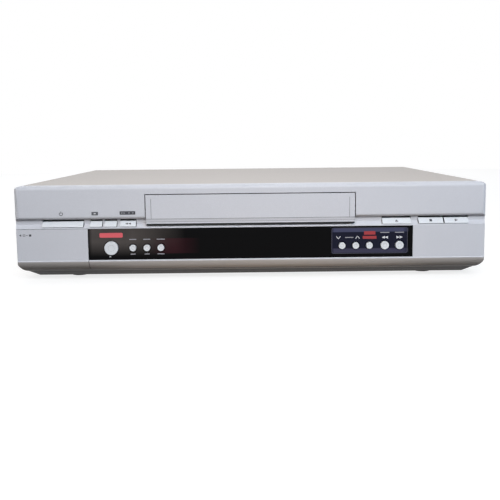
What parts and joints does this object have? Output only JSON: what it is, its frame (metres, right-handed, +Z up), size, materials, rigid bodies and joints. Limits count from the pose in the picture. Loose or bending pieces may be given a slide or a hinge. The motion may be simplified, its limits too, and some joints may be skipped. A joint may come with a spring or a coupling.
{
  "type": "video cassette recorder",
  "caption": "Slim silver front-loading video cassette recorder with sprung cassette flap, fold-down jack door, travelling keys and a working tape deck inside.",
  "frame": {"origin": "middle of the bounding box, on the surface under the feet", "axes": "+X to the right seen from the front, +Y to the back, +Z up; the front faces -Y"},
  "size_m": [0.4326, 0.288, 0.09],
  "materials": {
    "silver_plastic": "satin silver metallic lacquer on moulded plastic",
    "cover_paint": "fine warm grey metallic paint on folded steel",
    "dark_plastic": "fine grained dark grey moulding",
    "zinc_steel": "plain zinc plated sheet",
    "black_window": "polished smoked acrylic",
    "foot_rubber": "matt black rubber",
    "screw_steel": "bright plated",
    "socket_black": "black moulding with plated sleeves",
    "tin_plate": "bright tin plate",
    "circuit_board": "green solder mask",
    "board_parts": "moulded and sleeved parts",
    "power_parts": "varnished winding and brown board",
    "tube_glass": "clear glass over dark grid",
    "drum_aluminium": "fine turned",
    "polished_steel": "ground and polished",
    "spring_steel": "drawn wire",
    "black_rubber": "matt",
    "white_nylon": "natural moulded",
    "blue_nylon": "moulded",
    "key_silver": "bright silver lacquer"
  },
  "bodies": {
    "case": {"front_panel": "silver_plastic", "top_cover": "cover_paint", "chassis_frame": "dark_plastic", "bottom_plate": "zinc_steel", "rear_panel": "zinc_steel", "display_window": "black_window", "feet": "foot_rubber", "cover_screws": "screw_steel", "front_jacks": "socket_black", "rear_jacks": "socket_black", "tuner_box": "tin_plate", "power_inlet": "socket_black", "main_board": "circuit_board", "board_parts": "board_parts", "power_supply": "power_parts", "front_board": "circuit_board", "display_tube": "tube_glass", "deck_plate": "zinc_steel", "drum_base": "drum_aluminium", "capstan_stator": "circuit_board", "guide_posts": "polished_steel", "tape_heads": "polished_steel", "loader_frame": "zinc_steel", "loading_motor": "tin_plate", "flap_spring": "spring_steel", "drive_belt": "black_rubber"},
    "cassette_flap": {"cassette_flap": "silver_plastic"},
    "jack_door": {"jack_door": "silver_plastic"},
    "key_power": {"key_power": "key_silver"},
    "key_display": {"key_display": "key_silver"},
    "key_speed": {"key_speed": "key_silver"},
    "key_pause": {"key_pause": "key_silver"},
    "key_eject": {"key_eject": "key_silver"},
    "key_stop": {"key_stop": "key_silver"},
    "key_play": {"key_play": "key_silver"},
    "key_timer": {"key_timer": "key_silver"},
    "key_menu": {"key_menu": "key_silver"},
    "key_set": {"key_set": "key_silver"},
    "key_clear": {"key_clear": "key_silver"},
    "key_channel_down": {"key_channel_down": "key_silver"},
    "key_channel_up": {"key_channel_up": "key_silver"},
    "key_record": {"key_record": "key_silver"},
    "key_rewind": {"key_rewind": "key_silver"},
    "key_forward": {"key_forward": "key_silver"},
    "drum_rotor": {"drum_rotor": "drum_aluminium"},
    "capstan_rotor": {"capstan_rotor": "polished_steel"},
    "supply_reel": {"supply_reel": "white_nylon"},
    "takeup_reel": {"takeup_reel": "white_nylon"},
    "pinch_arm": {"pinch_arm": "zinc_steel"},
    "pinch_roller": {"pinch_roller": "black_rubber"},
    "supply_arm": {"supply_arm": "white_nylon"},
    "takeup_arm": {"takeup_arm": "white_nylon"},
    "tension_arm": {"tension_arm": "zinc_steel"},
    "cam_gear": {"cam_gear": "blue_nylon"},
    "motor_pinion": {"motor_pinion": "white_nylon"},
    "idler_arm": {"idler_arm": "zinc_steel"},
    "idler_wheel": {"idler_wheel": "black_rubber"},
    "clutch_pulley": {"clutch_pulley": "white_nylon"},
    "loader_carriage": {"loader_carriage": "zinc_steel"},
    "cassette_holder": {"cassette_holder": "zinc_steel"}
  },
  "joints": [
    {"name": "flap_hinge", "type": "hinge", "parent": "case", "child": "cassette_flap", "pos_m": [0, -0.1408, 0.0842], "axis": [1, 0, 0], "range_deg": [0, 85], "stiffness_Nm_per_rad": 0.01},
    {"name": "jack_door_hinge", "type": "hinge", "parent": "case", "child": "jack_door", "pos_m": [0, -0.132, 0.016], "axis": [1, 0, 0], "range_deg": [0, 90]},
    {"name": "press_power", "type": "slide", "parent": "case", "child": "key_power", "axis": [0, 1, 0], "range_m": [0, 0.0007], "stiffness_N_per_m": 300},
    {"name": "press_display", "type": "slide", "parent": "case", "child": "key_display", "axis": [0, 1, 0], "range_m": [0, 0.0007], "stiffness_N_per_m": 300},
    {"name": "press_speed", "type": "slide", "parent": "case", "child": "key_speed", "axis": [0, 1, 0], "range_m": [0, 0.0007], "stiffness_N_per_m": 300},
    {"name": "press_pause", "type": "slide", "parent": "case", "child": "key_pause", "axis": [0, 1, 0], "range_m": [0, 0.0007], "stiffness_N_per_m": 300},
    {"name": "press_eject", "type": "slide", "parent": "case", "child": "key_eject", "axis": [0, 1, 0], "range_m": [0, 0.0007], "stiffness_N_per_m": 300},
    {"name": "press_stop", "type": "slide", "parent": "case", "child": "key_stop", "axis": [0, 1, 0], "range_m": [0, 0.0007], "stiffness_N_per_m": 300},
    {"name": "press_play", "type": "slide", "parent": "case", "child": "key_play", "axis": [0, 1, 0], "range_m": [0, 0.0007], "stiffness_N_per_m": 300},
    {"name": "press_timer", "type": "slide", "parent": "case", "child": "key_timer", "axis": [0, 1, 0], "range_m": [0, 0.0007], "stiffness_N_per_m": 300},
    {"name": "press_menu", "type": "slide", "parent": "case", "child": "key_menu", "axis": [0, 1, 0], "range_m": [0, 0.0007], "stiffness_N_per_m": 300},
    {"name": "press_set", "type": "slide", "parent": "case", "child": "key_set", "axis": [0, 1, 0], "range_m": [0, 0.0007], "stiffness_N_per_m": 300},
    {"name": "press_clear", "type": "slide", "parent": "case", "child": "key_clear", "axis": [0, 1, 0], "range_m": [0, 0.0007], "stiffness_N_per_m": 300},
    {"name": "press_channel_down", "type": "slide", "parent": "case", "child": "key_channel_down", "axis": [0, 1, 0], "range_m": [0, 0.0007], "stiffness_N_per_m": 300},
    {"name": "press_channel_up", "type": "slide", "parent": "case", "child": "key_channel_up", "axis": [0, 1, 0], "range_m": [0, 0.0007], "stiffness_N_per_m": 300},
    {"name": "press_record", "type": "slide", "parent": "case", "child": "key_record", "axis": [0, 1, 0], "range_m": [0, 0.0007], "stiffness_N_per_m": 300},
    {"name": "press_rewind", "type": "slide", "parent": "case", "child": "key_rewind", "axis": [0, 1, 0], "range_m": [0, 0.0007], "stiffness_N_per_m": 300},
    {"name": "press_forward", "type": "slide", "parent": "case", "child": "key_forward", "axis": [0, 1, 0], "range_m": [0, 0.0007], "stiffness_N_per_m": 300},
    {"name": "drum_spin", "type": "hinge", "parent": "case", "child": "drum_rotor", "pos_m": [0, 0.053, 0.0475], "axis": [0.1038, 0, 0.9946], "continuous": true},
    {"name": "capstan_spin", "type": "hinge", "parent": "case", "child": "capstan_rotor", "pos_m": [0.066, 0.01, 0.015], "axis": [0, 0, 1], "continuous": true},
    {"name": "supply_spin", "type": "hinge", "parent": "case", "child": "supply_reel", "pos_m": [-0.046, -0.06, 0.033], "axis": [0, 0, 1], "continuous": true},
    {"name": "takeup_spin", "type": "hinge", "parent": "case", "child": "takeup_reel", "pos_m": [0.046, -0.06, 0.033], "axis": [0, 0, 1], "continuous": true},
    {"name": "pinch_swing", "type": "hinge", "parent": "case", "child": "pinch_arm", "pos_m": [0.092, 0.034, 0.039], "axis": [0, 0, 1], "range_deg": [-20.2, 0.2]},
    {"name": "pinch_spin", "type": "hinge", "parent": "pinch_arm", "child": "pinch_roller", "pos_m": [0.08217, 0.00785, 0.048], "axis": [0, 0, 1], "continuous": true},
    {"name": "supply_arm_swing", "type": "hinge", "parent": "case", "child": "supply_arm", "pos_m": [-0.008, 0.03, 0.023], "axis": [0, 0, 1], "range_deg": [-104.2, 0.2]},
    {"name": "takeup_arm_swing", "type": "hinge", "parent": "case", "child": "takeup_arm", "pos_m": [0.008, 0.03, 0.023], "axis": [0, 0, 1], "range_deg": [-0.2, 104.2]},
    {"name": "tension_swing", "type": "hinge", "parent": "case", "child": "tension_arm", "pos_m": [-0.084, 0.019, 0.032], "axis": [0, 0, 1], "range_deg": [0, 30]},
    {"name": "cam_turn", "type": "hinge", "parent": "case", "child": "cam_gear", "pos_m": [0.01628, 0.06091, 0.018], "axis": [0, 0, 1], "range_deg": [-312, 0]},
    {"name": "motor_spin", "type": "hinge", "parent": "case", "child": "motor_pinion", "pos_m": [0.03128, 0.08689, 0.018], "axis": [0, 0, 1], "range_deg": [-1, 1249]},
    {"name": "idler_swing", "type": "hinge", "parent": "case", "child": "idler_arm", "pos_m": [0, -0.039, 0.033], "axis": [0, 0, 1], "range_deg": [-60, 60]},
    {"name": "idler_spin", "type": "hinge", "parent": "idler_arm", "child": "idler_wheel", "pos_m": [0, -0.0574, 0.03], "axis": [0, 0, 1], "continuous": true},
    {"name": "clutch_spin", "type": "hinge", "parent": "case", "child": "clutch_pulley", "pos_m": [0, -0.039, 0.02], "axis": [0, 0, 1], "continuous": true},
    {"name": "carriage_in", "type": "slide", "parent": "case", "child": "loader_carriage", "axis": [0, 1, 0], "range_m": [0, 0.04]},
    {"name": "holder_down", "type": "slide", "parent": "loader_carriage", "child": "cassette_holder", "axis": [0, 0, -1], "range_m": [0, 0.019]}
  ],
  "couplings": [
    {"joint": "takeup_arm_swing", "follows": "cam_turn", "ratio": -0.33333},
    {"joint": "supply_arm_swing", "follows": "cam_turn", "ratio": 0.33333},
    {"joint": "pinch_swing", "follows": "cam_turn", "ratio": 0.064103},
    {"joint": "motor_spin", "follows": "cam_turn", "ratio": -4},
    {"joint": "clutch_spin", "follows": "capstan_spin", "ratio": 0.64286}
  ]
}
